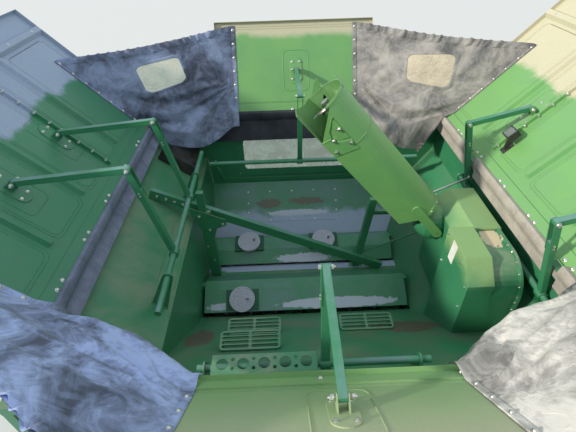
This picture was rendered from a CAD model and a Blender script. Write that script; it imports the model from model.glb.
# Looks for a combine harvester's grain tank: paint, dust, fabric corners, screws and small fittings
# X is the machine's right, Y is forward, Z is up, in metres
import math
import bmesh
import bpy
from mathutils import Matrix, Vector, noise


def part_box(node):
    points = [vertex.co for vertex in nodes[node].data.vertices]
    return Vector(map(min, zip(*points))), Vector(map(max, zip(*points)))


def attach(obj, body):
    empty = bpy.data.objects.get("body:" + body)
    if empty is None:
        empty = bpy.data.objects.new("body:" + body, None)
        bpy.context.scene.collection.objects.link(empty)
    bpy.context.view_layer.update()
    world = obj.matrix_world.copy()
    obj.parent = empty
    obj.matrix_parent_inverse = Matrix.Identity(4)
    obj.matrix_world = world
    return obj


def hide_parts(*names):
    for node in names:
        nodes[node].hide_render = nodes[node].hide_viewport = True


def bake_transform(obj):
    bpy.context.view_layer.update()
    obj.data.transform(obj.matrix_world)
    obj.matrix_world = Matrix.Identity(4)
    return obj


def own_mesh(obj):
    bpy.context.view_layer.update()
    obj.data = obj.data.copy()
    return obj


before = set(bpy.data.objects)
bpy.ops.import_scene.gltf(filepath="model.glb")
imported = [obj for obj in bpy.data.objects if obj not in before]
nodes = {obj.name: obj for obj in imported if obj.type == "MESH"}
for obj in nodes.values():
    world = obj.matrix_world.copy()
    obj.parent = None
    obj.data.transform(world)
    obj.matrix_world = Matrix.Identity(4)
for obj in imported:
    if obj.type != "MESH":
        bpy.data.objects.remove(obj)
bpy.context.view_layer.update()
print("frame loaded:", len(nodes), "nodes")

# where the main forms of the tank are, as in its solids; tilt is an open cover's angle above level
tank = dict(hingeHeight=1.7043, wallY=1.485)
covers = {
    "left": dict(turn=180, out=1.45, tilt=46.4, reach=1.462, half=1.44),
    "right": dict(turn=0, out=1.45, tilt=46.4, reach=1.462, half=1.44),
    "front": dict(turn=90, out=1.46, tilt=60.5, reach=0.930, half=0.80),
    "rear": dict(turn=-90, out=1.46, tilt=40.0, reach=0.930, half=0.80),
}


def moved(x, y, z):
    return Matrix.Translation((x, y, z))


def spun(degrees, axis):
    return Matrix.Rotation(math.radians(degrees), 4, axis)


def hingeMatrix(side):
    # X outward, Y along the hinge, Z up
    return spun(covers[side]["turn"], "Z") @ moved(covers[side]["out"], 0, tank["hingeHeight"])


def coverMatrix(side):
    # X up the open cover, Y along the hinge, Z towards its inner side
    return hingeMatrix(side) @ spun(-covers[side]["tilt"], "Y")


def turnSign(side):
    # which way world Y runs along a side cover's hinge
    return -1 if side == "left" else 1


def below(depth):
    return tank["hingeHeight"] - depth


def addObject(name, data):
    item = bpy.data.objects.new(name, data)
    bpy.context.scene.collection.objects.link(item)
    return item


# camera, floor and light

cameraView = dict(place=(-0.178, -2.474, 3.4743), pitch=38.3, yaw=-0.84, roll=1.74, lens=25.0, sensor=36.0)


def makeCamera(view):
    pitch, yaw, roll = (math.radians(view[key]) for key in ("pitch", "yaw", "roll"))
    base = Matrix(((1, 0, 0), (0, -math.sin(pitch), -math.cos(pitch)), (0, math.cos(pitch), -math.sin(pitch))))
    turn = Matrix(((math.cos(yaw), math.sin(yaw), 0), (-math.sin(yaw), math.cos(yaw), 0), (0, 0, 1)))
    tip = Matrix(((math.cos(roll), math.sin(roll), 0), (-math.sin(roll), math.cos(roll), 0), (0, 0, 1)))
    rows = tip @ base @ turn
    lens = bpy.data.cameras.new("photoCamera")
    lens.lens, lens.sensor_width, lens.clip_start = view["lens"], view["sensor"], 0.05
    camera = addObject("photoCamera", lens)
    columns = Matrix((rows[0], -rows[1], -rows[2])).transposed()
    camera.matrix_world = Matrix.Translation(view["place"]) @ columns.to_4x4()
    bpy.context.scene.camera = camera


makeCamera(cameraView)

studio = dict(floorSize=40.0, floorColour=(0.64, 0.63, 0.61), worldColour=(0.80, 0.91, 1.0), worldStrength=0.92,
              sunStrength=3.6, sunAngle=4.0, sunFrom=(-0.88, -0.27, 0.42), sunColour=(1.0, 0.93, 0.82))


def makeStudio(light):
    mesh = bpy.data.meshes.new("studioFloor")
    size = light["floorSize"]
    mesh.from_pydata([(-size, -size, 0), (size, -size, 0), (size, size, 0), (-size, size, 0)], [], [(0, 1, 2, 3)])
    paint = bpy.data.materials.new("paleFloor")
    paint.use_nodes = True
    shader = paint.node_tree.nodes["Principled BSDF"]
    shader.inputs["Base Color"].default_value = (*light["floorColour"], 1)
    shader.inputs["Roughness"].default_value = 0.9
    mesh.materials.append(paint)
    addObject("studioFloor", mesh)
    world = bpy.data.worlds.new("studioWorld")
    bpy.context.scene.world = world
    world.use_nodes = True
    background = world.node_tree.nodes["Background"]
    background.inputs["Color"].default_value = (*light["worldColour"], 1)
    background.inputs["Strength"].default_value = light["worldStrength"]
    lamp = bpy.data.lights.new("softSun", "SUN")
    lamp.energy, lamp.angle, lamp.color = light["sunStrength"], math.radians(light["sunAngle"]), light["sunColour"]
    sun = addObject("softSun", lamp)
    sun.rotation_mode = "QUATERNION"
    sun.rotation_quaternion = Vector(light["sunFrom"]).to_track_quat("Z", "Y")


makeStudio(studio)
bpy.context.scene.view_settings.view_transform = "Standard"
print("camera and studio ready")


# shader groups shared by the finishes

def put(tree, socket, value):
    # a number, vector or colour is set on the socket, anything else is linked to it
    if isinstance(value, (int, float)):
        socket.default_value = value
    elif isinstance(value, tuple):
        socket.default_value = (*value, 1) if socket.type == "RGBA" else value
    else:
        tree.links.new(value, socket)


def place(tree, kind, settings=None, **sockets):
    # an underscore in a socket's name stands for a space
    node = tree.nodes.new(kind)
    for key, value in (settings or {}).items():
        setattr(node, key, value)
    for key, value in sockets.items():
        put(tree, node.inputs[key.replace("_", " ")], value)
    return node


def maths(tree, operation, *values, clamp=False):
    node = place(tree, "ShaderNodeMath", dict(operation=operation, use_clamp=clamp))
    for socket, value in zip(node.inputs, values):
        put(tree, socket, value)
    return node.outputs[0]


def times(tree, first, second, clamp=False):
    return maths(tree, "MULTIPLY", first, second, clamp=clamp)


def plus(tree, first, second, clamp=False):
    return maths(tree, "ADD", first, second, clamp=clamp)


def vectorMaths(tree, operation, *values):
    node = place(tree, "ShaderNodeVectorMath", dict(operation=operation))
    for socket, value in zip(node.inputs, values):
        put(tree, socket, value)
    return node.outputs["Value" if operation in ("DOT_PRODUCT", "LENGTH") else "Vector"]


def ramp(tree, value, low, high, toLow=0.0, toHigh=1.0):
    return place(tree, "ShaderNodeMapRange", dict(interpolation_type="SMOOTHSTEP"), Value=value, From_Min=low,
                 From_Max=high, To_Min=toLow, To_Max=toHigh).outputs["Result"]


def noiseValue(tree, vector, scale, detail=4.0, roughness=0.55, distortion=0.0):
    return place(tree, "ShaderNodeTexNoise", Vector=vector, Scale=scale, Detail=detail, Roughness=roughness,
                 Distortion=distortion).outputs["Fac"]


def mixColour(tree, mask, first, second):
    node = place(tree, "ShaderNodeMix", dict(data_type="RGBA"))
    for number, value in ((0, mask), (6, first), (7, second)):
        put(tree, node.inputs[number], value)
    return node.outputs[2]


def newGroup(name, results, **inputs):
    # an input is a vector where its first value is one; so is a result named Normal
    group = bpy.data.node_groups.new(name, "ShaderNodeTree")
    sockets = [(key, "INPUT", isinstance(value, tuple), value)
               for key, value in dict(Position=(0, 0, 0), **inputs).items()]
    sockets += [(key, "OUTPUT", key == "Normal", None) for key in results]
    for key, way, isVector, value in sockets:
        socket = group.interface.new_socket(key.replace("_", " "), in_out=way,
                                            socket_type="NodeSocketVector" if isVector else "NodeSocketFloat")
        if value is not None:
            socket.default_value = value
    return group, group.nodes.new("NodeGroupInput").outputs, group.nodes.new("NodeGroupOutput").inputs


def makeDustGroup():
    # dust that thickens along a direction, with a ragged edge and fine speckle
    group, given, result = newGroup("dustFilm", ["Mask"], Direction=(0, 0, 1), Start=0.0, End=1.0, Breakup=0.3,
                                    Scale=3.0)
    along = vectorMaths(group, "DOT_PRODUCT", given["Position"], given["Direction"])
    broad = noiseValue(group, given["Position"], given["Scale"], 6.0, 0.6)
    shift = times(group, maths(group, "SUBTRACT", broad, 0.5), given["Breakup"])
    film = ramp(group, plus(group, along, times(group, shift, 2.0)), given["Start"], given["End"])
    speck = ramp(group, noiseValue(group, given["Position"], 160.0, 2.0), 0.30, 0.62, 0.72, 1.0)
    put(group, result["Mask"], times(group, film, speck))
    return group


def makeGrimeGroup():
    # blotches, specks and relief of painted sheet
    group, given, result = newGroup("sheetGrime", ["Blotch", "Speck", "Relief"], Blotch_Scale=3.5, Speck_Amount=0.3)
    broad = noiseValue(group, given["Position"], given["Blotch Scale"], 7.0, 0.62, 0.4)
    fine = noiseValue(group, given["Position"], 55.0, 3.0, 0.6)
    put(group, result["Blotch"], ramp(group, broad, 0.32, 0.72))
    threshold = maths(group, "SUBTRACT", 0.78, times(group, given["Speck Amount"], 0.3))
    speck = ramp(group, fine, threshold, plus(group, threshold, 0.06))
    put(group, result["Speck"], times(group, speck, ramp(group, broad, 0.35, 0.6)))
    put(group, result["Relief"], plus(group, times(group, broad, 0.6), times(group, fine, 0.15)))
    return group


def makeEdgeGroup():
    # where an edge has been rubbed: the rounded normal leaves the flat one
    group, given, result = newGroup("edgeRub", ["Mask", "Normal"], Radius=0.004, Amount=0.6)
    rounded = place(group, "ShaderNodeBevel", dict(samples=4), Radius=given["Radius"]).outputs["Normal"]
    flat = group.nodes.new("ShaderNodeNewGeometry").outputs["Normal"]
    bend = maths(group, "SUBTRACT", 1.0, vectorMaths(group, "DOT_PRODUCT", rounded, flat))
    patch = ramp(group, noiseValue(group, given["Position"], 24.0, 5.0), 0.42, 0.66)
    mask = times(group, ramp(group, bend, 0.03, 0.22), patch)
    put(group, result["Mask"], times(group, mask, given["Amount"]))
    put(group, result["Normal"], rounded)
    return group


def makePatchGroup():
    # a ragged bare patch round a point
    group, given, result = newGroup("barePatch", ["Mask"], Centre=(0, 0, 0), Reach=(1, 1, 1), Ragged=0.5)
    offset = vectorMaths(group, "SUBTRACT", given["Position"], given["Centre"])
    length = vectorMaths(group, "LENGTH", vectorMaths(group, "DIVIDE", offset, given["Reach"]))
    wobble = maths(group, "SUBTRACT", noiseValue(group, given["Position"], 20.0, 6.0, 0.65), 0.5)
    level = plus(group, length, times(group, wobble, given["Ragged"]))
    put(group, result["Mask"], ramp(group, level, 0.97, 0.90))
    return group


def makeWeaveGroup():
    # fine woven backing and soft crumple of coated cloth
    group, given, result = newGroup("coatedCloth", ["Height", "Crease", "Dust"], Crease_Scale=7.0)
    large = noiseValue(group, given["Position"], given["Crease Scale"], 6.0, 0.58, 1.2)
    ridge = maths(group, "ABSOLUTE", maths(group, "SUBTRACT", large, 0.5))
    crease = ramp(group, ridge, 0.0, 0.09, 1.0, 0.0)
    thread = noiseValue(group, given["Position"], 420.0, 2.0)
    fine = plus(group, times(group, crease, 0.22), times(group, thread, 0.02))
    put(group, result["Height"], plus(group, times(group, large, 0.9), fine))
    put(group, result["Crease"], crease)
    put(group, result["Dust"], ramp(group, noiseValue(group, given["Position"], 2.6, 8.0, 0.66, 0.6), 0.36, 0.66))
    return group


dustGroup = makeDustGroup()
grimeGroup = makeGrimeGroup()
edgeGroup = makeEdgeGroup()
patchGroup = makePatchGroup()
weaveGroup = makeWeaveGroup()


def useGroup(tree, group, position, **values):
    return place(tree, "ShaderNodeGroup", dict(node_tree=group), Position=position, **values).outputs


def useGrime(tree, position, scale, speckAmount):
    grime = useGroup(tree, grimeGroup, position, Blotch_Scale=scale, Speck_Amount=speckAmount)
    return grime["Blotch"], grime["Speck"], grime["Relief"]


def addPatches(tree, position, colour, patches):
    # patches hold (centre, reach, ragged, colour)
    for centre, reach, ragged, patchColour in patches:
        patch = useGroup(tree, patchGroup, position, Centre=centre, Reach=reach, Ragged=ragged)
        colour = mixColour(tree, patch["Mask"], colour, paintColours[patchColour])
    return colour


def newFinish(name, roughness, metallic, colour):
    finish = bpy.data.materials.new(name)
    finish.use_nodes = True
    finish.diffuse_color = (*colour, 1)
    tree = finish.node_tree
    shader = tree.nodes["Principled BSDF"].inputs
    for key, value in (("Base Color", colour), ("Roughness", roughness), ("Metallic", metallic)):
        put(tree, shader[key], value)
    return finish, tree, tree.nodes.new("ShaderNodeTexCoord").outputs["Object"]


def dress(finish, colour, roughness=None, bump=None, normal=None, **constants):
    # joins a finish's shader to its colour, roughness and relief; bump is (height, distance, strength)
    tree = finish.node_tree
    shader = tree.nodes["Principled BSDF"].inputs
    put(tree, shader["Base Color"], colour)
    if roughness is not None:
        put(tree, shader["Roughness"], roughness)
    if bump:
        relief = place(tree, "ShaderNodeBump", Height=bump[0], Distance=bump[1], Strength=bump[2])
        if normal is not None:
            put(tree, relief.inputs["Normal"], normal)
        put(tree, shader["Normal"], relief.outputs["Normal"])
    for key, value in constants.items():
        put(tree, shader[key.replace("_", " ")], value)
    return finish


# finishes

paintColours = dict(green=(0.040, 0.222, 0.100), deep=(0.016, 0.105, 0.050), bright=(0.165, 0.375, 0.115),
                    coolDust=(0.36, 0.42, 0.56), sandDust=(0.56, 0.50, 0.36), mud=(0.13, 0.11, 0.08),
                    bare=(0.46, 0.50, 0.58), chaff=(0.62, 0.52, 0.34), rust=(0.105, 0.105, 0.070),
                    bleached=(0.250, 0.400, 0.160), rubbed=(0.30, 0.42, 0.30))


def greenPaint(name, dust=(), topDust=0.35, patches=(), tone="green", dustColour="sandDust", mud=0.35,
               blotch=0.40):
    # dust holds (direction, start, end, breakup, scale)
    finish, tree, position = newFinish(name, 0.42, 0.0, paintColours[tone])
    blotches, specks, relief = useGrime(tree, position, 3.0, 0.35)
    colour = mixColour(tree, times(tree, blotches, blotch), paintColours[tone],
                       paintColours["deep" if tone == "green" else "green"])
    normal = tree.nodes.new("ShaderNodeNewGeometry").outputs["Normal"]
    facingUp = ramp(tree, place(tree, "ShaderNodeSeparateXYZ", Vector=normal).outputs["Z"], 0.25, 0.95)
    settled = times(tree, times(tree, facingUp, blotches), topDust)
    colour = mixColour(tree, settled, colour, paintColours[dustColour])
    colour = mixColour(tree, times(tree, specks, mud), colour, paintColours["mud"])
    rough = plus(tree, times(tree, settled, 0.5), 0.40)
    for direction, low, high, breakup, scale in dust:
        film = useGroup(tree, dustGroup, position, Direction=direction, Start=low, End=high, Breakup=breakup,
                        Scale=scale)["Mask"]
        colour = mixColour(tree, film, colour, paintColours[dustColour])
        rough = plus(tree, rough, times(tree, film, 0.4), clamp=True)
    colour = addPatches(tree, position, colour, patches)
    rub = useGroup(tree, edgeGroup, position, Radius=0.004, Amount=0.40)
    colour = mixColour(tree, rub["Mask"], colour, paintColours["rubbed"])
    return dress(finish, colour, rough, (relief, 0.0012, 0.6), rub["Normal"], Coat_Weight=0.12, Coat_Roughness=0.25)


def coverPaint(side, start, end, breakup, dustColour, tone):
    # dust from start to end, in metres up the open cover from its hinge
    matrix = coverMatrix(side)
    direction = (matrix.to_3x3() @ Vector((1, 0, 0))).normalized()
    hinge = direction.dot(matrix.translation)
    return greenPaint(side + "CoverPaint", dust=[(tuple(direction), hinge + start, hinge + end, breakup, 2.6)],
                      topDust=0.10, tone=tone, dustColour=dustColour, mud=0.15, blotch=0.30)


def plainMetal(name, colour, roughness, scratch=0.25):
    finish, tree, position = newFinish(name, roughness, 1.0, colour)
    blotches, specks, relief = useGrime(tree, position, 14.0, 0.6)
    dark = tuple(channel * 0.45 for channel in colour)
    return dress(finish, mixColour(tree, times(tree, blotches, scratch * 2), colour, dark),
                 plus(tree, times(tree, blotches, scratch), roughness), (relief, 0.0006, 0.5))


def rubberFinish(name, base, dustColour):
    # smooth rubber with fine speckle and soft streaks of dust
    finish, tree, position = newFinish(name, 0.72, 0.0, base)
    fine = noiseValue(tree, position, 90.0, 3.0, 0.7)
    mask = plus(tree, times(tree, useGrime(tree, position, 7.0, 0.9)[0], 0.60),
                times(tree, ramp(tree, fine, 0.40, 0.75), 0.30), clamp=True)
    return dress(finish, mixColour(tree, mask, base, dustColour), bump=(fine, 0.0010, 0.5))


def vinylFinish(name, base, dustColour, dustAmount):
    finish, tree, position = newFinish(name, 0.62, 0.0, base)
    cloth = useGroup(tree, weaveGroup, position, Crease_Scale=6.0)
    dusty = times(tree, plus(tree, cloth["Dust"], times(tree, cloth["Crease"], 0.20)), dustAmount, clamp=True)
    return dress(finish, mixColour(tree, dusty, base, dustColour), plus(tree, times(tree, dusty, 0.35), 0.5),
                 (cloth["Height"], 0.009, 0.7), Sheen_Weight=0.15)


def glassFinish(name, clean, dusty):
    finish, tree, position = newFinish(name, 0.08, 0.0, (0.62, 0.72, 0.66))
    blotches = useGrime(tree, position, 5.0, 0.5)[0]
    return dress(finish, mixColour(tree, times(tree, blotches, 0.6), clean, dusty),
                 ramp(tree, blotches, 0.0, 1.0, 0.08, 0.55), Transmission_Weight=0.75, IOR=1.48)


def clearFilmFinish(name, clean, dusty):
    finish, tree, position = newFinish(name, 0.35, 0.0, clean)
    cloth = useGroup(tree, weaveGroup, position, Crease_Scale=16.0)
    return dress(finish, mixColour(tree, cloth["Dust"], clean, dusty), bump=(cloth["Height"], 0.010, 0.8),
                 Coat_Weight=0.3)


def plasticFinish(name, roughness, plain, scale, speckAmount, share, clean, worn, depth):
    finish, tree, position = newFinish(name, roughness, 0.0, plain)
    blotches, specks, relief = useGrime(tree, position, scale, speckAmount)
    return dress(finish, mixColour(tree, times(tree, blotches, share), clean, worn), bump=(relief, depth, 0.4))


def sensorFinish(name, centre, axis):
    # a grey speckled pad, round the axis through its centre, on a green bracket
    finish, tree, position = newFinish(name, 0.7, 0.0, (0.3, 0.3, 0.3))
    offset = vectorMaths(tree, "SUBTRACT", position, centre)
    away = vectorMaths(tree, "LENGTH", vectorMaths(tree, "CROSS_PRODUCT", offset, axis))
    height = vectorMaths(tree, "DOT_PRODUCT", offset, axis)
    onPad = times(tree, ramp(tree, away, 0.1195, 0.1185), ramp(tree, height, 0.0225, 0.0230))
    speck = ramp(tree, noiseValue(tree, position, 95.0, 3.0, 0.7), 0.42, 0.60)
    grey = mixColour(tree, speck, (0.33, 0.34, 0.40), (0.46, 0.47, 0.54))
    return dress(finish, mixColour(tree, onPad, paintColours["deep"], grey), bump=(speck, 0.0008, 0.5))


finishes = {
    "wall": greenPaint("wallPaint", topDust=0.30, mud=0.5),
    "frontSlope": greenPaint("frontSlopePaint", topDust=0.25, mud=0.8, dustColour="coolDust", dust=[
        ((0.0, -0.35, -0.94), -1.075, -0.965, 0.110, 7.0)], patches=[
        ((-0.34, 1.25, 0.73), (0.15, 0.07, 0.06), 1.7, "rust"),
        ((0.10, 1.27, 0.74), (0.24, 0.05, 0.05), 1.8, "rust"),
        ((-0.02, 1.17, 0.645), (0.36, 0.040, 0.035), 1.6, "bare")]),
    "rearSlope": greenPaint("rearSlopePaint", topDust=0.22, mud=1.0, blotch=0.8, patches=[
        ((0.75, -0.55, 0.83), (0.30, 0.16, 0.16), 1.4, "mud"),
        ((-0.85, -0.62, 0.88), (0.12, 0.22, 0.20), 1.4, "mud")]),
    "bright": greenPaint("brightPaint", tone="bright", topDust=0.35, mud=0.35),
    "drive": greenPaint("drivePaint", topDust=1.0, mud=0.30, blotch=0.25, dustColour="bleached", dust=[
        ((0.0, 0.0, 1.0), 1.40, 1.56, 0.10, 5.0)]),
    "head": greenPaint("headPaint", topDust=0.45, mud=0.35, patches=[
        ((1.31, -0.36, 1.534), (0.075, 0.11, 0.05), 1.3, "chaff")]),
    "tube": greenPaint("tubePaint", tone="bright", topDust=0.45, mud=0.30, blotch=0.30),
    "fitting": greenPaint("fittingPaint", topDust=0.30, mud=0.35),
    "lever": greenPaint("leverPaint", topDust=0.35, mud=0.30, blotch=0.15, dustColour="coolDust"),
    "augerCover": greenPaint("augerCoverPaint", topDust=0.25, mud=0.6, dustColour="coolDust", patches=[
        ((0.30, -0.055, 0.517), (0.56, 0.060, 0.045), 0.9, "bare"),
        ((-0.72, -0.055, 0.517), (0.20, 0.040, 0.035), 1.3, "bare"),
        ((0.02, 0.56, 0.517), (0.30, 0.060, 0.045), 1.2, "bare")]),
    "left": coverPaint("left", 0.76, 0.84, 0.20, "coolDust", "green"),
    "right": coverPaint("right", 0.74, 0.82, 0.20, "sandDust", "bright"),
    "front": coverPaint("front", 0.76, 0.84, 0.08, "sandDust", "bright"),
    "rear": coverPaint("rear", -0.20, 1.00, 0.16, "sandDust", "bright"),
    "steel": plainMetal("wornSteel", (0.52, 0.51, 0.49), 0.32),
    "zinc": plainMetal("zincPlate", (0.74, 0.73, 0.69), 0.34, 0.12),
    "screwSteel": plainMetal("polishedFlight", (0.62, 0.61, 0.58), 0.26, 0.3),
    "glass": glassFinish("windowGlass", (0.60, 0.70, 0.64), (0.42, 0.42, 0.36)),
    "rubberLeft": rubberFinish("shadedSealRubber", (0.125, 0.145, 0.210), (0.280, 0.310, 0.430)),
    "rubberRight": rubberFinish("dustySealRubber", (0.30, 0.27, 0.24), (0.54, 0.49, 0.42)),
    "rubberFront": rubberFinish("cleanSealRubber", (0.018, 0.019, 0.026), (0.060, 0.062, 0.082)),
    "filmLeft": clearFilmFinish("clearFilm", (0.62, 0.66, 0.54), (0.80, 0.77, 0.62)),
    "filmRight": clearFilmFinish("dustyFilm", (0.42, 0.36, 0.27), (0.60, 0.51, 0.37)),
    "black": plasticFinish("lampPlastic", 0.45, (0.015, 0.015, 0.017), 12.0, 0.7, 0.5, (0.012, 0.012, 0.014),
                           (0.10, 0.095, 0.08), 0.0006),
    "label": plasticFinish("blankLabel", 0.4, (0.80, 0.80, 0.76), 18.0, 0.5, 0.35, (0.82, 0.82, 0.79),
                           (0.50, 0.48, 0.40), 0.0002),
    "frontLeftVinyl": vinylFinish("shadedVinyl", (0.034, 0.040, 0.070), (0.250, 0.300, 0.450), 1.0),
    "frontRightVinyl": vinylFinish("sunlitVinyl", (0.090, 0.088, 0.092), (0.380, 0.355, 0.325), 0.9),
    "rearLeftVinyl": vinylFinish("wornVinyl", (0.050, 0.062, 0.105), (0.400, 0.490, 0.780), 1.1),
    "rearRightVinyl": vinylFinish("dustyVinyl", (0.190, 0.175, 0.165), (0.700, 0.660, 0.600), 1.15),
}

nodeFinish = {
    "side_cover_left": "left", "side_cover_right": "right", "end_cover_front": "front", "end_cover_rear": "rear",
    "window_pane": "glass", "cross_auger_rear": "screwSteel", "cross_auger_front": "screwSteel",
    "loading_auger_screw": "screwSteel", "fold_rod": "zinc", "cover_lamp": "black",
    "auger_cover_rear": "augerCover", "auger_cover_front": "augerCover", "hatch_plate": "frontSlope",
    "tank_wall_front": "frontSlope", "tank_wall_rear": "rearSlope", "auger_trough_rear": "rearSlope",
    "auger_trough_front": "frontSlope", "tank_wall_left": "wall", "tank_wall_right": "wall",
    "brace_beam": "lever", "loading_auger_tube": "tube", "elevator_hood": "drive", "elevator_head": "head",
    "auger_base": "drive", "step_plank": "fitting", "seal_left": "rubberLeft", "seal_right": "rubberRight",
    "seal_front": "rubberFront", "seal_rear": "rubberLeft",
}
# for nodes that aren't listed, by the start of their names
familyFinish = {"fabric": "frontLeftVinyl", "fold": "lever", "": "fitting"}
sensorTops = {}


def sensorPad(name, item):
    # keeps the pad's foot, its axis and its height for the fittings on it
    points = [item.matrix_world @ vertex.co for vertex in item.data.vertices]
    normal = max(item.data.polygons, key=lambda face: face.area).normal.copy()
    normal = -normal if normal.z < 0 else normal
    centre = sum(points, Vector()) / len(points)
    heights = [normal.dot(point) for point in points]
    base = centre + normal * (min(heights) - normal.dot(centre))
    sensorTops[name] = (base, normal, max(heights) - min(heights))
    return sensorFinish(name + "Pad", tuple(base), tuple(normal))


for name, item in sorted(nodes.items()):
    if name.startswith("load_sensor"):
        finish = sensorPad(name, item)
    else:
        family = next(key for key in familyFinish if name.startswith(key))
        finish = finishes[nodeFinish.get(name, familyFinish[family])]
    if not item.material_slots:
        item.data.materials.append(finish)
    for slot in item.material_slots:
        slot.material = finish
print("node finishes set")


# new pieces

flush = 0.0003  # how far a plate's or a bead's foot is sunk into the face under it


def meshPiece(name, build, body, finish, smooth=True):
    shape = bmesh.new()
    build(shape)
    mesh = bpy.data.meshes.new(name)
    bmesh.ops.recalc_face_normals(shape, faces=shape.faces)
    shape.to_mesh(mesh)
    shape.free()
    mesh.materials.append(finish)
    if smooth:
        mesh.shade_smooth()
        mesh.set_sharp_from_angle(angle=math.radians(35))
    piece = addObject(name, mesh)
    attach(piece, body)
    return piece


def ring(shape, matrix, points):
    return [shape.verts.new(matrix @ Vector(point)) for point in points]


def skin(shape, rings, capped=True):
    # joins each ring of corners to the next, and closes the two ends
    for low, high in zip(rings, rings[1:]):
        for k in range(len(low)):
            after = (k + 1) % len(low)
            shape.faces.new((low[k], low[after], high[after], high[k]))
    if capped:
        shape.faces.new(list(reversed(rings[0])))
        shape.faces.new(rings[-1])


def lathe(shape, matrix, profile, sides):
    # profile is (radius, height) from the foot up
    angles = [2 * math.pi * k / sides for k in range(sides)]
    skin(shape, [ring(shape, matrix, [(radius * math.cos(a), radius * math.sin(a), height) for a in angles])
                 for radius, height in profile])


def roundedOutline(low, high, radius, steps=5):
    points = []
    for cx, cy, first in ((high[0] - radius, low[1] + radius, -90), (high[0] - radius, high[1] - radius, 0),
                          (low[0] + radius, high[1] - radius, 90), (low[0] + radius, low[1] + radius, 180)):
        for k in range(steps + 1):
            angle = math.radians(first + 90 * k / steps)
            points.append((cx + radius * math.cos(angle), cy + radius * math.sin(angle)))
    return points


def plate(shape, matrix, outline, thickness):
    skin(shape, [ring(shape, matrix, [(x, y, height) for x, y in outline]) for height in (-flush, thickness)])


def bead(shape, matrix, outline, width, rise, closed=True):
    # a pressed bead that follows an outline on a flat face, in the matrix's X and Y
    points = [Vector((x, y, 0)) for x, y in outline]
    rings = []
    for k, here in enumerate(points):
        before = points[k - 1] if closed or k else here
        after = points[(k + 1) % len(points)] if closed or k < len(points) - 1 else here
        along = (after - before).normalized()
        side = Vector((-along.y, along.x, 0)) * width
        rings.append(ring(shape, matrix, [here + side * share + Vector((0, 0, height)) for share, height in (
            (-0.5, -flush), (-0.26, rise), (0.26, rise), (0.5, -flush))]))
    skin(shape, rings + rings[:1] if closed else rings, capped=not closed)


# a fastener's forms: sides, how far the foot is sunk, and (radius, height) in shares of the head's half width
boltForms = {
    "washer": (16, 0.0006, ((1.25, 0.0), (1.25, 0.154), (1.15, 0.22))),
    "dome": (12, 0.0002, ((1.0, 0.22), (0.95, 0.47), (0.72, 0.74), (0.36, 0.88))),
    "hex": (6, 0.0002, ((1.0, 0.22), (1.0, 1.03), (0.84, 1.15))),
    "stud": (12, 0.0003, ((0.50, 1.15), (0.50, 1.65), (0.40, 1.77))),
}
boltKinds = dict(dome=("washer", "dome"), hex=("washer", "hex"), nut=("washer", "hex", "stud"))


def fasteners(name, body, spots):
    # spots are (point, axis, half width of the head, kind)
    def build(shape):
        for number, (point, axis, size, kind) in enumerate(spots):
            turn = Vector(axis).to_track_quat("Z", "Y").to_matrix().to_4x4()
            matrix = Matrix.Translation(point) @ turn @ Matrix.Rotation(number * 0.7, 4, "Z")
            for form in boltKinds[kind]:
                sides, sunk, profile = boltForms[form]
                lathe(shape, matrix, [(size * radius, size * height - (0 if k else sunk))
                                      for k, (radius, height) in enumerate(profile)], sides)
    return meshPiece(name, build, body, finishes["zinc"])


# covers: pressed seams, hinge strip screws, joint bolts, pivot bolts

# u goes up a cover from its hinge, v along the hinge; a pivot is (u, its places in v)
pivots = {"left": (0.580, (0.380, -0.290)), "right": (0.560, (-0.800, 0.450)),
          "front": (0.450, (-0.010,)), "rear": (0.380, (0.020,))}
coverWork = dict(ribs=(0.690, -0.080, -0.620), joint=0.375, seamWidth=0.007, seamRise=0.0018, padReach=0.20,
                 stripU=0.062, stripTop=0.010, pairGap=0.038, lipU=1.250, lipTop=0.036, flangeTop=0.017,
                 lipV=(-1.30, -0.90, -0.35, 0.15, 0.62, 0.90, 1.30), endV=0.72, endU=(0.20, 0.42, 0.64, 0.86),
                 pivotHeight=0.055, pivotFace=0.0356, padBolt=(0.085, 0.038), padTop=0.006, margin=0.03,
                 sidePanel=(0.125, 1.175), endPanel=0.115, narrowest=0.24, jointFirst=0.215, jointStep=0.115,
                 jointHalf=0.006, stripEnd=0.15)
# a panel's insets and corner, a pad's half width and corner, and the pad's seam against a panel's
seamForms = {
    "side": dict(insets=(0.060, 0.080), corner=0.05, padHalf=0.115, padCorner=0.04, padWidth=1.2,
                 padRise=1.3),
    "end": dict(insets=(0.045, 0.065), corner=0.07, padHalf=0.13, padCorner=0.05, padWidth=1.3,
                padRise=1.4),
}


def isSideCover(side):
    return side in ("left", "right")


def coverPanels(side, insets):
    # between the ribs and the joint of a side cover, or once round an end cover
    cover, work = covers[side], coverWork
    if not isSideCover(side):
        return [((work["endPanel"] + inset * 0.5, inset - cover["half"]),
                 (cover["reach"] - inset, cover["half"] - inset)) for inset in insets]
    ends, (first, last) = cover["half"] - work["margin"], work["sidePanel"]
    edges = [-ends] + sorted(v * turnSign(side) for v in (*work["ribs"], work["joint"])) + [ends]
    return [((first + inset, low + inset), (last, high - inset)) for low, high in zip(edges, edges[1:])
            if high - low >= work["narrowest"] for inset in insets]


def coverSeams(side):
    matrix, work, form = coverMatrix(side), coverWork, seamForms["side" if isSideCover(side) else "end"]
    u, places = pivots[side]

    def build(shape):
        for low, high in coverPanels(side, form["insets"]):
            bead(shape, matrix, roundedOutline(low, high, form["corner"]), work["seamWidth"], work["seamRise"])
        for v in places:
            low, high = ((u + way * work["padReach"], v + way * form["padHalf"]) for way in (-1, 1))
            bead(shape, matrix, roundedOutline(low, high, form["padCorner"]), work["seamWidth"] * form["padWidth"],
                 work["seamRise"] * form["padRise"])
    return meshPiece("cover_seams_" + side, build, "cover_" + side, finishes[side])


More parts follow.
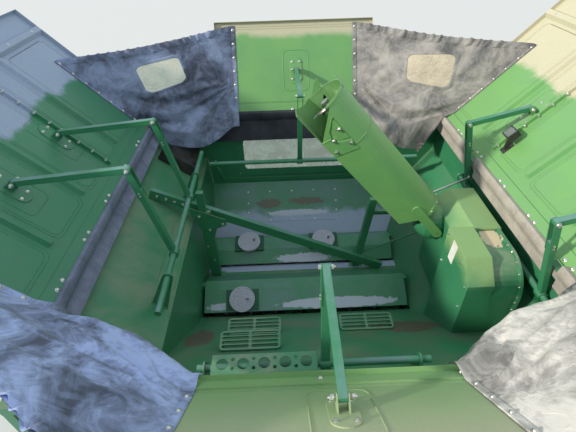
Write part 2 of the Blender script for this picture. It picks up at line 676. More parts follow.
def coverScrews(side):
    half, matrix, work = covers[side]["half"], coverMatrix(side), coverWork
    inward = matrix.to_3x3() @ Vector((0, 0, 1))
    across = matrix.to_3x3() @ Vector((0, 1, 0))
    spots = []

    def add(u, v, height, axis, size, kind):
        spots.append((matrix @ Vector((u, v, height)), axis, size, kind))

    count = 7 if isSideCover(side) else 3
    for k in range(count):
        middle = (2 * k / (count - 1) - 1) * (half - work["stripEnd"])
        for way in (-1, 1):
            add(work["stripU"], middle + way * work["pairGap"], work["stripTop"], inward, 0.0115, "dome")
    if isSideCover(side):
        for k in range(9):
            for way in (-1, 1):
                add(work["jointFirst"] + k * work["jointStep"],
                    work["joint"] * turnSign(side) + way * work["jointHalf"], work["flangeTop"],
                    across * way, 0.009, "hex" if way > 0 else "nut")
        for v in work["lipV"]:
            add(work["lipU"], v, work["lipTop"], inward, 0.009, "dome")
    else:
        for v in (-work["endV"], work["endV"]):
            for u in work["endU"]:
                add(u, v, 0.0, inward, 0.008, "dome")
    u, places = pivots[side]
    du, dv = work["padBolt"]
    for v in places:
        for way in (-1, 1):
            add(u, v + way * work["pivotFace"], work["pivotHeight"], across * way, 0.0125, "nut")
        for uWay in (-1, 1):
            for vWay in (-1, 1):
                add(u + uWay * du, v + vWay * dv, work["padTop"], inward, 0.009, "hex")
    return fasteners("cover_screws_" + side, "cover_" + side, spots)


for side in covers:
    coverSeams(side)
    coverScrews(side)
print("covers detailed")


# links: bolts and nuts at the elbows and the cranks

# (inward, up) from the hinge line; bolts are (back from the elbow, size)
links = {
    "left": dict(shaft=(0.490, -0.170), elbow=(0.345, 0.520)),
    "right": dict(shaft=(-0.025, -0.280), elbow=(0.112, 0.327)),
    "front": dict(shaft=(0.400, -0.310), elbow=(0.560, 0.430)),
    "rear": dict(shaft=(0.200, -0.225), elbow=(0.360, 0.358)),
}
linkWork = dict(face=0.023, bolts=((0.0, 0.0135), (0.165, 0.008), (0.185, 0.008)))


def linkBolts(side):
    matrix = hingeMatrix(side)
    across = matrix.to_3x3() @ Vector((0, 1, 0))
    shaft, elbow = (Vector(links[side][key]) for key in ("shaft", "elbow"))
    crank = (elbow - shaft).normalized()
    spots = []
    for v in pivots[side][1]:
        for way in (-1, 1):
            for back, size in linkWork["bolts"]:
                spot = elbow - crank * back
                spots.append((matrix @ Vector((-spot.x, v + way * linkWork["face"], spot.y)), across * way, size,
                              "nut" if way > 0 and not back else "hex"))
    return fasteners("link_bolts_" + side, "shaft_" + side, spots)


for side in links:
    linkBolts(side)
print("links detailed")


# fabric corners: a sheet in two halves, each carried by its own cover

# bend is how far below the hinges the flap turns away from the covers, by bendRise and the two bendRuns
fabric = dict(thickness=0.0022, lift=0.0036, hem=0.045, endX=0.640, sideU=(0.150, 0.980), endU=(0.155, 0.900),
              across=54, up=40, hemFrom=0.915, foldReach=0.30, flap=0.24, flapRows=9, bend=0.14, bendRise=0.046,
              bendRuns=(0.120, 0.125), slack=1.02, tuck=0.12)
leftSide, rightSide = dict(side="left", xSide=-1), dict(side="right", xSide=1)
frontEnd = dict(end="front", ySide=1, sag=(0.100, 0.030, 0.090), sideY=1.21)
rearEnd = dict(end="rear", ySide=-1, sag=(0.060, 0.050, 0.060), sideY=1.05, split=0.5, tails=(0.10, 0.10),
               origin=(1.04, 0.12), ruffle=0.018)
# folds are (angle, width, depth) of ridges that fan out from the foot of the end cover
corners = {
    "front_left": dict(leftSide, **frontEnd, finish="frontLeftVinyl", seed=11, split=0.25, tails=(0.20, 0.11),
                       origin=(1.02, 0.24), crumple=0.011, ruffle=0.012, folds=(
                           (-0.62, 0.10, -0.022), (-0.38, 0.07, 0.030), (-0.20, 0.06, -0.026),
                           (-0.05, 0.05, 0.026), (0.10, 0.06, -0.024), (0.27, 0.07, 0.026),
                           (0.50, 0.07, -0.012), (0.92, 0.09, 0.016), (1.22, 0.08, -0.012))),
    "front_right": dict(rightSide, **frontEnd, finish="frontRightVinyl", seed=23, split=0.20, tails=(0.38, 0.06),
                        origin=(1.02, 0.20), crumple=0.016, ruffle=0.015, folds=(
                            (-0.50, 0.10, 0.030), (-0.28, 0.07, -0.030), (-0.08, 0.07, 0.030),
                            (0.16, 0.08, -0.018), (0.55, 0.12, 0.014), (1.00, 0.10, -0.014))),
    "rear_left": dict(leftSide, **rearEnd, finish="rearLeftVinyl", seed=37, crumple=0.013, folds=(
        (-0.30, 0.06, 0.014), (-0.05, 0.05, -0.022), (0.12, 0.05, 0.026), (0.30, 0.06, -0.022),
        (0.48, 0.06, 0.024), (0.70, 0.08, -0.016))),
    "rear_right": dict(rightSide, **rearEnd, finish="rearRightVinyl", seed=53, crumple=0.015, folds=(
        (-0.25, 0.06, 0.018), (-0.02, 0.05, -0.024), (0.16, 0.05, 0.028), (0.36, 0.06, -0.024),
        (0.60, 0.08, 0.022))),
}
# round a window the cloth is held flatter: half its reach in (s, t), where that ends, its fade and its share
calm = dict(reach=(0.17, 0.19), edge=1.35, fade=0.35, share=0.75)
# the clear windows, by their corners along (s, t): lower side, lower end, upper end, upper side
windows = {
    "frontLeftVinyl": dict(corners=((0.28, 0.44), (0.62, 0.52), (0.63, 0.82), (0.33, 0.80)), film="filmLeft"),
    "frontRightVinyl": dict(corners=((0.23, 0.38), (0.58, 0.44), (0.64, 0.74), (0.34, 0.83)), film="filmRight"),
}


def hingeWays(corner):
    # which way the corner lies along the side cover's hinge and along the end cover's
    return (corner["ySide"] * turnSign(corner["side"]), corner["xSide"] * (-1 if corner["end"] == "front" else 1))


def fabricPoint(corner, s, t):
    # s runs from the side cover to the end cover, t from the hinges up to the hem
    # with t below 0 the cloth hangs past the hinges
    sideWay, endWay = hingeWays(corner)
    drop, t = max(0.0, -t), max(0.0, t)
    bend = min(1.0, drop / fabric["bend"])
    height = fabric["lift"] + fabric["bendRise"] * bend * bend * (3 - 2 * bend)
    sideU, endU = (low + (high - low) * t - run * bend
                   for (low, high), run in zip((fabric["sideU"], fabric["endU"]), fabric["bendRuns"]))
    outside = fabric["hem"] * (s if s < 0 else 1 - s if s > 1 else 0)
    s = min(1.0, max(0.0, s))
    start = coverMatrix(corner["side"]) @ Vector((sideU, (corner["sideY"] + outside * (s == 0)) * sideWay, height))
    stop = coverMatrix(corner["end"]) @ Vector((endU, (fabric["endX"] + outside * (s == 1)) * endWay, height))
    low, high, inward = corner["sag"]
    sag = (4 * s * (1 - s)) ** 1.5 * (1.2 - 0.4 * s)
    tail = corner["tails"][0] + (corner["tails"][1] - corner["tails"][0]) * min(1.0, s * 1.6)
    hang = max(0.0, drop - fabric["bend"]) / (fabric["flap"] - fabric["bend"]) * tail
    point = start.lerp(stop, s)
    point.z -= (low + (high - low) * t) * sag + hang
    point.x -= corner["xSide"] * (inward * sag * (1 - t) + 0.5 * hang * (1 - s))
    point.y -= corner["ySide"] * (inward * sag * (1 - t) + 0.5 * hang * s)
    return point


def facing(corner, surface, s, t, step=0.012):
    # the normal of a cloth surface, towards the inside of the tank
    across = surface(corner, min(1, s + step), t) - surface(corner, max(0, s - step), t)
    up = surface(corner, s, min(1, t + step)) - surface(corner, s, t - step)
    normal = across.cross(up).normalized()
    return normal if normal.dot(Vector((-corner["xSide"], -corner["ySide"], 0.4))) > 0 else -normal


def windowWeight(corner, s, t):
    # 1 inside the clear window
    window = windows.get(corner["finish"])
    if not window:
        return 0.0
    middle = [sum(spot[k] for spot in window["corners"]) / 4 for k in (0, 1)]
    off = max(abs(s - middle[0]) / calm["reach"][0], abs(t - middle[1]) / calm["reach"][1])
    return max(0.0, min(1.0, (calm["edge"] - off) / calm["fade"]))


def fabricFold(corner, s, t):
    # ridges that fan out, and a soft crumple
    if s <= 0 or s >= 1:
        return 0.0
    hold = min(1.0, math.sin(math.pi * s) * 1.6) ** 0.8
    seed = corner["seed"]
    away, rise = (corner["origin"][0] - s) * 1.25, t - corner["origin"][1]
    reach = math.hypot(away, rise)
    angle = math.atan2(rise, away) + 0.10 * noise.noise(Vector((s * 3.1, t * 3.3, seed + 1.3)))
    fan = sum(depth * math.exp(-((angle - middle) / width) ** 2) for middle, width, depth in corner["folds"])
    fan *= min(1.0, reach / fabric["foldReach"]) * math.exp(-0.75 * max(0.0, reach - fabric["foldReach"]))
    # shares and scales of the crumple, coarse to fine
    crumple = sum(share * noise.noise(Vector((s * sScale, t * tScale, seed + shift)))
                  for share, sScale, tScale, shift in ((1.0, 5.0, 4.6, 3.1), (0.55, 11.0, 10.0, 7.7),
                                                       (0.25, 24.0, 22.0, 9.2)))
    held = hold * (1.0 - calm["share"] * windowWeight(corner, s, t))
    return held * (fan + corner["crumple"] * crumple)


def fabricSurface(corner, s, t):
    return fabricPoint(corner, s, t) + facing(corner, fabricPoint, s, t) * fabricFold(corner, s, t)


def smoothSheet(name, rows, normals, thickness, finish):
    # a sheet of two layers; its normals come from the surface, so that the seam between two halves doesn't show
    height, width = len(rows), len(rows[0])

    def index(layer, k, m):
        return (layer * height + k) * width + m

    def addRim(spots, flip):
        for (k, m), (nextK, nextM) in zip(spots, spots[1:]):
            loop = (index(0, k, m), index(0, nextK, nextM), index(1, nextK, nextM), index(1, k, m))
            faces.append(loop[::-1] if flip else loop)

    points, directions, faces = [], [], []
    for way in (1, -1):
        for row, normalRow in zip(rows, normals):
            points += [point + normal * thickness * 0.5 * way for point, normal in zip(row, normalRow)]
            directions += [tuple(normal * way) for normal in normalRow]
    for k in range(height - 1):
        for m in range(width - 1):
            faces.append((index(0, k, m), index(0, k, m + 1), index(0, k + 1, m + 1), index(0, k + 1, m)))
            faces.append((index(1, k, m), index(1, k + 1, m), index(1, k + 1, m + 1), index(1, k, m + 1)))
    addRim([(k, 0) for k in range(height)], False)
    addRim([(k, width - 1) for k in range(height)], True)
    addRim([(0, m) for m in range(width)], True)
    addRim([(height - 1, m) for m in range(width)], False)
    mesh = bpy.data.meshes.new(name)
    mesh.from_pydata(points, [], faces)
    k, m = height // 2, width // 2
    across, up = rows[k][m + 1] - rows[k][m], rows[k + 1][m] - rows[k][m]
    if across.cross(up).dot(normals[k][m]) < 0:
        mesh.flip_normals()
    mesh.shade_smooth()
    mesh.normals_split_custom_set_from_vertices(directions)
    mesh.materials.append(finish)
    return addObject(name, mesh)


def fabricHalf(name, corner, low, high, body, heights):
    count = max(8, round(fabric["across"] * (high - low)))
    columns = [low + (high - low) * k / count for k in range(count + 1)]
    # the hem lies flat on the cover, past the sheet's own range
    if low == 0:
        columns = [-1.0, -0.5] + columns
    if high == 1:
        columns += [1.5, 2.0]
    rows = [[fabricSurface(corner, s, t) for s in columns] for t in heights]
    normals = [[facing(corner, fabricSurface, min(1, max(0, s)), t) for s in columns] for t in heights]
    piece = smoothSheet(name, rows, normals, fabric["thickness"], finishes[corner["finish"]])
    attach(piece, body)
    return piece


def sheetArea(corner, low, high):
    # the cloth's own area, measured over its folds
    steps = 30
    rows = [[fabricSurface(corner, low + (high - low) * k / steps, (m / steps) * (1 + fabric["flap"]) - fabric["flap"])
             for k in range(steps + 1)] for m in range(steps + 1)]
    total = 0.0
    for lower, upper in zip(rows, rows[1:]):
        for k in range(steps):
            total += ((lower[k + 1] - lower[k]).cross(upper[k] - lower[k])).length / 2
            total += ((upper[k + 1] - upper[k]).cross(upper[k + 1] - lower[k + 1])).length / 2
    return total


# a window's film and its border, by (share of its outline, height over the cloth)
windowWork = dict(middle=0.0036, corner=0.34, film=((1.0, -0.0010), (0.99, 0.0030), (0.84, 0.0040),
                                                    (0.66, 0.0036), (0.46, 0.0040), (0.24, 0.0036)),
                  border=((0.93, 0.0020), (0.96, 0.0070), (1.06, 0.0070), (1.13, 0.0005)))


def windowPatch(name, corner, body):
    # a clear window on the inner side, with a stitched border
    window = windows[corner["finish"]]
    lowSide, lowEnd, highEnd, highSide = (Vector(spot) for spot in window["corners"])
    outline = roundedOutline((-1, -1), (1, 1), windowWork["corner"], 7)

    def lifted(shape, a, b, height):
        a, b = (a + 1) / 2, (b + 1) / 2
        s, t = lowSide.lerp(lowEnd, a).lerp(highSide.lerp(highEnd, a), b)
        point = fabricSurface(corner, s, t)
        return shape.verts.new(point + facing(corner, fabricSurface, s, t) * (fabric["thickness"] / 2 + height))

    def buildFilm(shape):
        rings = [[lifted(shape, a * share, b * share, height) for a, b in outline]
                 for share, height in windowWork["film"]]
        middle = lifted(shape, 0, 0, windowWork["middle"])
        skin(shape, rings, capped=False)
        for here, after in zip(rings[-1], rings[-1][1:] + rings[-1][:1]):
            shape.faces.new((here, after, middle))

    def buildBorder(shape):
        rings = [[lifted(shape, a * share, b * share, height) for share, height in windowWork["border"]]
                 for a, b in outline]
        skin(shape, rings + rings[:1], capped=False)

    return [meshPiece(name, buildFilm, body, finishes[window["film"]]),
            meshPiece(name + "_border", buildBorder, body, finishes[corner["finish"]])]


batten = dict(half=0.017, corner=0.010, thickness=0.0028, inset=0.01, firstScrew=0.04, screw=0.0105)


def hemBatten(name, corner, onSide, screws, body):
    # a doubled strip that clamps the hem to its cover, with screws
    matrix = coverMatrix(corner["side" if onSide else "end"])
    sideWay, endWay = hingeWays(corner)
    first, last = fabric["sideU" if onSide else "endU"]
    v = ((corner["sideY"] - fabric["hem"] * 0.5) * sideWay if onSide
         else (fabric["endX"] - fabric["hem"] * 0.5) * endWay)
    top = fabric["lift"] + fabric["thickness"] / 2

    def build(shape):
        outline = roundedOutline((first + batten["inset"], v - batten["half"]),
                                 (last - batten["inset"], v + batten["half"]), batten["corner"], 4)
        plate(shape, matrix @ moved(0, 0, top), outline, batten["thickness"])

    strip = meshPiece(name, build, body, finishes[corner["finish"]])
    inward = matrix.to_3x3() @ Vector((0, 0, 1))
    step = (last - first - 2 * batten["firstScrew"]) / (screws - 1)
    spots = [(matrix @ Vector((first + batten["firstScrew"] + step * k, v, top + batten["thickness"])), inward,
              batten["screw"], "dome") for k in range(screws)]
    return [strip, fasteners(name + "_screws", body, spots)]


hemRoll = dict(sides=12, density=190, inner=0.0075, outer=0.0030, crown=0.006, ripple=118, slowRipple=61)


def hemHold(s):
    # ruffles fade out towards the two covers
    return min(1.0, s / 0.22, (1 - s) / 0.06) if 0 < s < 1 else 0.0


def topHem(name, corner, low, high, body):
    # the gathered upper edge: a flattened roll with ruffles that run down from it
    steps = max(20, round(hemRoll["density"] * (high - low)))
    seed = corner["seed"]

    def ruffle(s, share):
        wave = math.sin(s * hemRoll["ripple"] + 4.5 * noise.noise(Vector((s * 7.0, 0.3, seed))))
        wave += 0.6 * math.sin(s * hemRoll["slowRipple"] + 2.0 + 5.0 * noise.noise(Vector((s * 4.0, 0.9, seed + 2))))
        return corner["ruffle"] * wave * hemHold(s) * (0.35 + 0.65 * share)

    def rollPoint(s, normal, angle):
        share = (1 + math.sin(angle)) / 2
        t = fabric["hemFrom"] + (1.0 - fabric["hemFrom"]) * share
        lift = math.cos(angle) * hemRoll["inner" if math.cos(angle) > 0 else "outer"]
        point = fabricSurface(corner, s, t) + normal * (lift + ruffle(s, share) * 0.8)
        if share > 0.1:
            point.z += hemRoll["crown"] * math.sin(s * hemRoll["ripple"] + 1.2) * share * hemHold(s)
        return point

    def build(shape):
        rings = []
        for k in range(steps + 1):
            s = low + (high - low) * k / steps
            normal = facing(corner, fabricSurface, s, 0.97)
            rings.append([shape.verts.new(rollPoint(s, normal, 2 * math.pi * m / hemRoll["sides"]))
                          for m in range(hemRoll["sides"])])
        skin(shape, rings)
    return meshPiece(name, build, body, finishes[corner["finish"]])


def fabricCorner(key):
    corner = corners[key]
    node = "fabric_" + key
    split = corner["split"]
    for low, high, which, axis in ((0.0, split, "side", (0, 1, 0)), (split, 1.0, "end", (1, 0, 0))):
        cover, onSide = corner[which], which == "side"
        body, joint = "cover_" + cover, "cover_turn_" + cover
        name = node + "_" + which
        anchor = tuple(fabricPoint(corner, 0.0 if onSide else 1.0, 0.0))
        heights = [k / fabric["up"] for k in range(fabric["up"] + 1)]
        piece = fabricHalf(name, corner, low, high, body, heights)
        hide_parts(node)
        # the part below the hinges folds up on itself as the cover shuts
        heights = [-fabric["flap"] * (1 - k / fabric["flapRows"]) for k in range(fabric["flapRows"] + 1)]
        flap = fabricHalf(name + "_flap", corner, low, high, body, heights)
        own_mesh(flap)
        soft = [topHem(name + "_hem", corner, low, high, body)]
        window = windows.get(corner["finish"])
        if window and low < window["corners"][0][0] < high:
            soft += windowPatch(name + "_window", corner, body)
        clamp = hemBatten(name + "_batten", corner, onSide, 7 if onSide else 6, body)
        ends = fabric["sideU" if onSide else "endU"]
        hemLength = ends[1] - ends[0]
        area = sheetArea(corner, low, high) + hemLength * fabric["hem"]
        for item in [piece] + soft:
            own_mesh(item)


for key in corners:
    fabricCorner(key)
print("fabric corners made")


# rubber strips over the hinge lines, from the cover down to the rim and the shelf

# profile points are (inward, up) from the hinge line; the strip turns with its cover above the rim
strips = {
    "left": dict(spans=((-1.37, 1.37),), foot=((0.052, -0.120), (0.024, -0.086), (-0.002, -0.056)), top=0.047,
                 finish="rubberLeft", replaces="seal_left"),
    "front": dict(spans=((-0.93, 0.93),), foot=((0.040, -0.250), (0.022, -0.150), (-0.004, -0.060)), top=0.056,
                  finish="rubberFront", replaces="seal_front"),
    "right": dict(spans=((-1.37, -0.875), (-0.725, 0.375), (0.525, 1.37)), foot=((-0.008, -0.060),), top=0.050,
                  finish="rubberRight", replaces=None),
}
# the rim and the neck are (outward, up) from the hinge line, the upper points (u, height) on the open cover
stripWork = dict(rim=(0.004, -0.036), neck=(-0.022, 0.004), upper=((0.032, 0.042), (0.037, 0.039)), topHeight=0.0125,
                 thickness=0.0035, step=0.06, wave=0.0035)


def hingeStrip(side, number, low, high):
    work = strips[side]
    matrix = hingeMatrix(side)
    local = matrix.inverted() @ coverMatrix(side)
    upper = [local @ Vector((u, 0, w)) for u, w in (*stripWork["upper"], (work["top"], stripWork["topHeight"]))]
    profile = [(-inward, up) for inward, up in work["foot"]] + [stripWork["rim"], stripWork["neck"]]
    profile += [(point.x, point.z) for point in upper]
    steps = max(4, round((high - low) / stripWork["step"]))
    rows, normals = [], []
    for k, (x, height) in enumerate(profile):
        before, after = profile[max(0, k - 1)], profile[min(len(profile) - 1, k + 1)]
        along = Vector((after[0] - before[0], 0, after[1] - before[1])).normalized()
        row = []
        for m in range(steps + 1):
            v = low + (high - low) * m / steps
            wave = stripWork["wave"] * noise.noise(Vector((v * 5.0, k * 0.6, 3.0 + number)))
            sway = wave if 0 < k < len(profile) - 2 else 0.0
            row.append(matrix @ Vector((x - abs(sway), v, height + sway)))
        rows.append(row)
        normals.append([matrix.to_3x3() @ Vector((-along.z, 0, along.x))] * (steps + 1))
    name = "hinge_strip_" + side + ("_" + str(number) if number else "")
    piece = smoothSheet(name, rows, normals, stripWork["thickness"], finishes[work["finish"]])
    if work["replaces"]:
        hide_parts(work["replaces"])
    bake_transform(piece)
    return piece


for side, work in strips.items():
    for number, (low, high) in enumerate(work["spans"]):
        hingeStrip(side, number, low, high)
print("hinge strips made")


# hood, elevator head, loading auger and their fittings

# hood bolts and flange bolts are (y, depth under the hinges); the head's round end is at its rear top
drive = dict(hoodX=1.02, headX=1.38, headRadius=0.230, headRear=-0.735, headTop=0.170, offset=0.011, axis=(-1, 0, 0),
             hood=((-0.700, 0.30), (-0.315, 0.155), (-0.315, 0.42), (-0.575, 0.195), (-0.700, 0.50)),
             rearDepths=(0.43, 0.50), topY=(-0.46, -0.36), label=(-0.432, 0.231), labelHalf=(0.092, 0.038),
             labelCorner=0.006, labelThickness=0.0008, askew=-0.10)


def hoodLabel():
    # a bare white plate, a little askew
    y, depth = drive["label"]
    right, up = drive["labelHalf"]
    turn = Vector(drive["axis"]).to_track_quat("Z", "Y").to_matrix().to_4x4()
    matrix = moved(drive["hoodX"] - 0.0002, y, below(depth)) @ turn
    turned = matrix.inverted().to_3x3() @ Vector((0, drive["askew"], 1))
    matrix = matrix @ Matrix.Rotation(math.atan2(turned.y, turned.x), 4, "Z")

    def build(shape):
        plate(shape, matrix, roundedOutline((-right, -up), (right, up), drive["labelCorner"], 4),
              drive["labelThickness"])
    return meshPiece("hood_label", build, "tank", finishes["label"])


def driveBolts():
    axis, offset = drive["axis"], drive["offset"]
    spots = [((drive["hoodX"], y, below(depth)), axis, 0.009, "hex") for y, depth in drive["hood"]]
    centreY = drive["headRear"] + drive["headRadius"]
    centreZ = below(drive["headTop"]) - drive["headRadius"]
    places = []
    for k in range(5):
        angle = math.radians(95 + 80 * k / 4)
        places.append((centreY + (drive["headRadius"] + offset) * math.cos(angle),
                       centreZ + (drive["headRadius"] + offset) * math.sin(angle)))
    places += [(drive["headRear"] - offset, below(depth)) for depth in drive["rearDepths"]]
    places += [(y, below(drive["headTop"]) + offset) for y in drive["topY"]]
    spots += [((drive["headX"], y, z), axis, 0.008, "hex") for y, z in places]
    return fasteners("drive_bolts", "tank", spots)


# bands are (place along the tube, width, rise); X is the tube's upper side in its own frame
auger = dict(pivot=(1.05, 0.08), depth=0.36, tilt=49.3, radius=0.160, bandLip=0.002, bandSteps=32,
             bands=((0.215, 0.030, 0.006), (1.105, 0.014, 0.002), (1.438, 0.014, 0.004)),
             clampBolts=(-62, -30, 0, 30, 62), slant=(-0.482, -0.876, 0),
             mouthBolts=((-0.020, 1.262), (-0.020, 1.130), (-0.158, 1.098), (-0.112, 1.192)))
augerMatrix = moved(*auger["pivot"], below(auger["depth"])) @ spun(auger["tilt"] - 90, "Y")


def onTube(angle, rise, along):
    # a point over the tube's skin, with its angle from the upper side
    radius = auger["radius"] + rise
    return radius * math.cos(angle), radius * math.sin(angle), along


def augerBands():
    # rolled bands round the upper half of the tube
    def build(shape):
        for middle, width, rise in auger["bands"]:
            half, lip = width / 2, auger["bandLip"]
            section = ((middle - half, 0.0002), (middle - half + lip, rise), (middle + half - lip, rise),
                       (middle + half, 0.0002))
            angles = [math.radians(-90 + 180 * k / auger["bandSteps"]) for k in range(auger["bandSteps"] + 1)]
            skin(shape, [ring(shape, augerMatrix, [onTube(angle, height, along) for along, height in section])
                         for angle in angles])
    return meshPiece("auger_bands", build, "loading_auger", finishes["bright"])


def augerBolts():
    turn = augerMatrix.to_3x3()
    spots = []
    for angle in (math.radians(degrees) for degrees in auger["clampBolts"]):
        spots.append((augerMatrix @ Vector(onTube(angle, 0.0055, auger["bands"][0][0])),
                      turn @ Vector((math.cos(angle), math.sin(angle), 0)), 0.0075, "dome"))
    for x, along in auger["mouthBolts"]:
        spots.append((augerMatrix @ Vector((x, -0.1660 - x * 0.55, along)), turn @ Vector(auger["slant"]),
                      0.0125, "hex"))
    return fasteners("auger_bolts", "loading_auger", spots)


# the section is (x, y) across the tube, from the keel round to the top
mouth = dict(section=((-0.200, -0.050), (-0.200, 0.005), (-0.200, 0.060), (-0.150, 0.110), (-0.100, 0.160),
                      (-0.040, 0.160), (0.020, 0.160)),
             start=1.370, stop=1.450, keelStop=1.480, thickness=0.004,
             top=((-1.425, -0.050), (-1.455, -0.045), (-1.560, 0.0), (-1.455, 0.045), (-1.425, 0.050)),
             far=((-0.095, -1.430), (0.0, -1.430), (0.040, -1.516), (0.010, -1.516)))


def augerMouth():
    # the keel and the far side run on to the tube's end, with a plate on top and one on the far side
    def build(shape):
        rows = []
        for x, y in mouth["section"]:
            inner = (x + (0.004 if x < -0.19 else 0.002 if x < -0.09 else 0.0), y - (0.004 if y > 0.06 else 0.0))
            start, stop = mouth["start"] + x, mouth["keelStop" if x < -0.19 else "stop"]
            rows.append(ring(shape, augerMatrix, ((x, y, start), (x, y, stop), (*inner, stop), (*inner, start))))
        skin(shape, rows)
        plate(shape, augerMatrix @ moved(0.1585, 0, 0) @ spun(90, "Y"), mouth["top"], mouth["thickness"])
        plate(shape, augerMatrix @ moved(0, 0.1560, 0) @ spun(-90, "X"), mouth["far"], mouth["thickness"])
    return meshPiece("auger_mouth", build, "loading_auger", finishes["tube"], smooth=False)


# outlines run (up the near side, along the tube)
doubling = dict(place=(-0.100, -0.1060, 0), thickness=0.0035, lipWidth=0.014, lipRise=0.005,
                lower=((-0.108, 1.060), (0.112, 1.060), (0.112, 1.150), (0.020, 1.165), (-0.020, 1.200),
                       (-0.108, 1.200)),
                upper=((0.052, 1.180), (0.112, 1.170), (0.112, 1.345), (0.086, 1.330), (0.052, 1.285)),
                lip=((-0.108, 1.203), (-0.020, 1.210), (0.010, 1.275), (0.112, 1.365)))


def mouthPlates():
    # two doubling plates bolted along the slanted edge of the near side, and a bent lip at the edge
    slope = Matrix(((0.876, 0, -0.482), (-0.482, 0, -0.876), (0, 1, 0))).to_4x4()
    foot = augerMatrix @ moved(*doubling["place"]) @ slope

    def build(shape):
        for outline in (doubling["lower"], doubling["upper"]):
            plate(shape, foot, outline, doubling["thickness"])
        bead(shape, foot @ moved(0, 0, 0.0005), doubling["lip"], doubling["lipWidth"], doubling["lipRise"],
             closed=False)
    return meshPiece("mouth_plates", build, "loading_auger", finishes["bright"])


hoodLabel()
driveBolts()
augerBands()
augerBolts()
augerMouth()
mouthPlates()
print("drive and auger detailed")


# tank: rim, wall, window, shelf, beam and post fasteners

# rows of bolts are ((x, height) of each, y of the face, half width of the head, kind)
beamSlope = 1.017 / 2.135
boltRows = (
    ([(x, below(depth)) for x in (-0.65, -0.33, 0.0, 0.33, 0.65) for depth in (0.212, 0.698)],
     tank["wallY"] - 0.0005, 0.0085, "dome"),
    ([(x, below(0.205 + (x + 1.335) * beamSlope)) for x in (-1.275, -1.205, -1.135, -1.065)],
     0.4123, 0.0115, "hex"),
    (((-0.933, 1.268), (-0.730, 1.176), (-0.857, 1.111)), 0.356, 0.0115, "hex"),
    (((-0.905, below(0.80)), (-0.865, below(0.98))), 0.362, 0.009, "hex"),
)


def tankBolts():
    # the window's border, the brace beam's upper end, the gusset and the post
    return fasteners("tank_bolts", "tank", [((x, y, height), (0, -1, 0), size, kind)
                                            for places, y, size, kind in boltRows for x, height in places])


hatch = dict(sideInset=0.022, endInset=0.024, alongTop=(-1.0, -0.5, 0.0, 0.5, 1.0), upSide=(-0.45, 0.2), bolt=0.0085)


def hatchBolts():
    # round the border of the hatch plate on the front slope
    item = nodes["hatch_plate"]
    face = max(item.data.polygons, key=lambda f: f.area if f.normal.z > 0 else 0)
    normal, middle = face.normal.copy(), face.center.copy()
    low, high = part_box("hatch_plate")
    right = Vector((1, 0, 0))
    up = normal.cross(right)
    wide = right * ((high[0] - low[0]) / 2 - hatch["sideInset"])
    tall = up * ((high[2] - low[2]) / 2 / abs(up.z) - hatch["endInset"])
    centre = Vector(((high[0] + low[0]) / 2, 0, (high[2] + low[2]) / 2))
    centre.y = middle.y - (centre.z - middle.z) * normal.z / normal.y
    shares = [(share, way) for share in hatch["alongTop"] for way in (-1, 1)]
    shares += [(way, share) for share in hatch["upSide"] for way in (-1, 1)]
    return fasteners("hatch_bolts", "tank", [(centre + wide * across + tall * along, normal, hatch["bolt"], "dome")
                                             for across, along in shares])


# the bulge's rings are (inset, rise), the pocket's (share of its outline, height)
shelf = dict(drop=(0.475, 0.155, 0.500), middle=(-1.2375, 0.3275), bulgeY=-0.08, pocketY=1.22, bulgeCorner=0.074,
             bulgeLow=(-0.170, -0.075), bulgeHigh=(0.215, 0.075), pocketHalf=0.200,
             bulge=((0.0, -0.0004), (0.010, 0.012), (0.026, 0.024), (0.050, 0.030)),
             pocket=((1.0, -0.0048), (0.97, -0.110), (0.95, -0.110), (0.96, -0.0050)))


def shelfMatrix(y):
    # X down the left shelf, Y forward, Z out of its face
    run, top, foot = shelf["drop"]
    slope = Vector((run, 0, below(foot) - below(top))).normalized()
    across = Vector((0, 1, 0))
    matrix = Matrix((slope, across, across.cross(slope))).transposed().to_4x4()
    matrix.translation = Vector((shelf["middle"][0], y, below(shelf["middle"][1])))
    return matrix


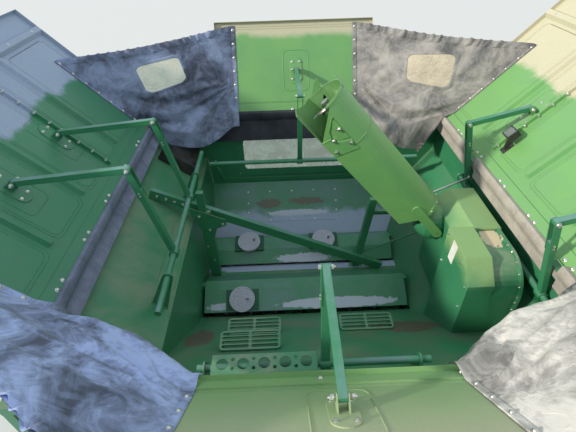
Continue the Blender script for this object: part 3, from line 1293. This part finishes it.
def shelfBulge():
    # the pressed oval on the left shelf
    matrix = shelfMatrix(shelf["bulgeY"])

    def build(shape):
        rings = []
        for inset, rise in shelf["bulge"]:
            low, high = ([value + way * inset for value in shelf[key]]
                         for key, way in (("bulgeLow", 1), ("bulgeHigh", -1)))
            outline = roundedOutline(low, high, shelf["bulgeCorner"] - inset, 8)
            rings.append(ring(shape, matrix, [(x, y, rise) for x, y in outline]))
        skin(shape, rings)
    return meshPiece("shelf_bulge", build, "tank", finishes["wall"])


def shelfPocket():
    # the dark pan under the hole in the left shelf
    matrix = shelfMatrix(shelf["pocketY"])
    half = shelf["pocketHalf"]

    def build(shape):
        outline = roundedOutline((-half, -half), (half, half), 0.03, 3)
        rings = [ring(shape, matrix, [(x * share, y * share, height) for x, y in outline])
                 for share, height in shelf["pocket"]]
        skin(shape, rings, capped=False)
        shape.faces.new(rings[1])
    return meshPiece("shelf_pocket", build, "tank", finishes["black"], smooth=False)


tankBolts()
hatchBolts()
shelfBulge()
shelfPocket()
print("tank detailed")


# load sensors: an upright blade and two bolts on each; the lens of the cover's lamp

sensor = dict(blade=((0.040, 0.0), (0.064, 0.0), (0.064, 0.040), (0.058, 0.052), (0.046, 0.052), (0.040, 0.040)),
              bladeY=0.0015, thickness=0.003, boltAngles=(35, 215), boltOut=0.085,
              bolt=((0.008, 0.0), (0.008, 0.004), (0.005, 0.005)))
lampLens = dict(low=(0.300, 0.260), high=(0.370, 0.340), corner=0.012, height=0.115, thickness=0.0035)


def sensorFittings(name):
    base, normal, height = sensorTops[name]
    side = Vector((1, 0, 0))
    matrix = Matrix((side, normal.cross(side), normal)).transposed().to_4x4()
    matrix.translation = base

    def build(shape):
        upright = matrix @ moved(0, sensor["bladeY"], height - 0.002) @ spun(90, "X")
        plate(shape, upright, sensor["blade"], sensor["thickness"])
        for angle in sensor["boltAngles"]:
            foot = matrix @ spun(angle, "Z") @ moved(sensor["boltOut"], 0, 0) @ moved(0, 0, height - 0.001)
            lathe(shape, foot, sensor["bolt"], 10)
    return meshPiece(name + "_fitting", build, "tank", finishes["steel"])


def lampFittings():
    def build(shape):
        plate(shape, coverMatrix("right") @ moved(0, 0, lampLens["height"]),
              roundedOutline(lampLens["low"], lampLens["high"], lampLens["corner"], 5), lampLens["thickness"])
    return meshPiece("lamp_lens", build, "cover_right", finishes["glass"])


for name in sensorTops:
    sensorFittings(name)
lampFittings()
print("fittings made")
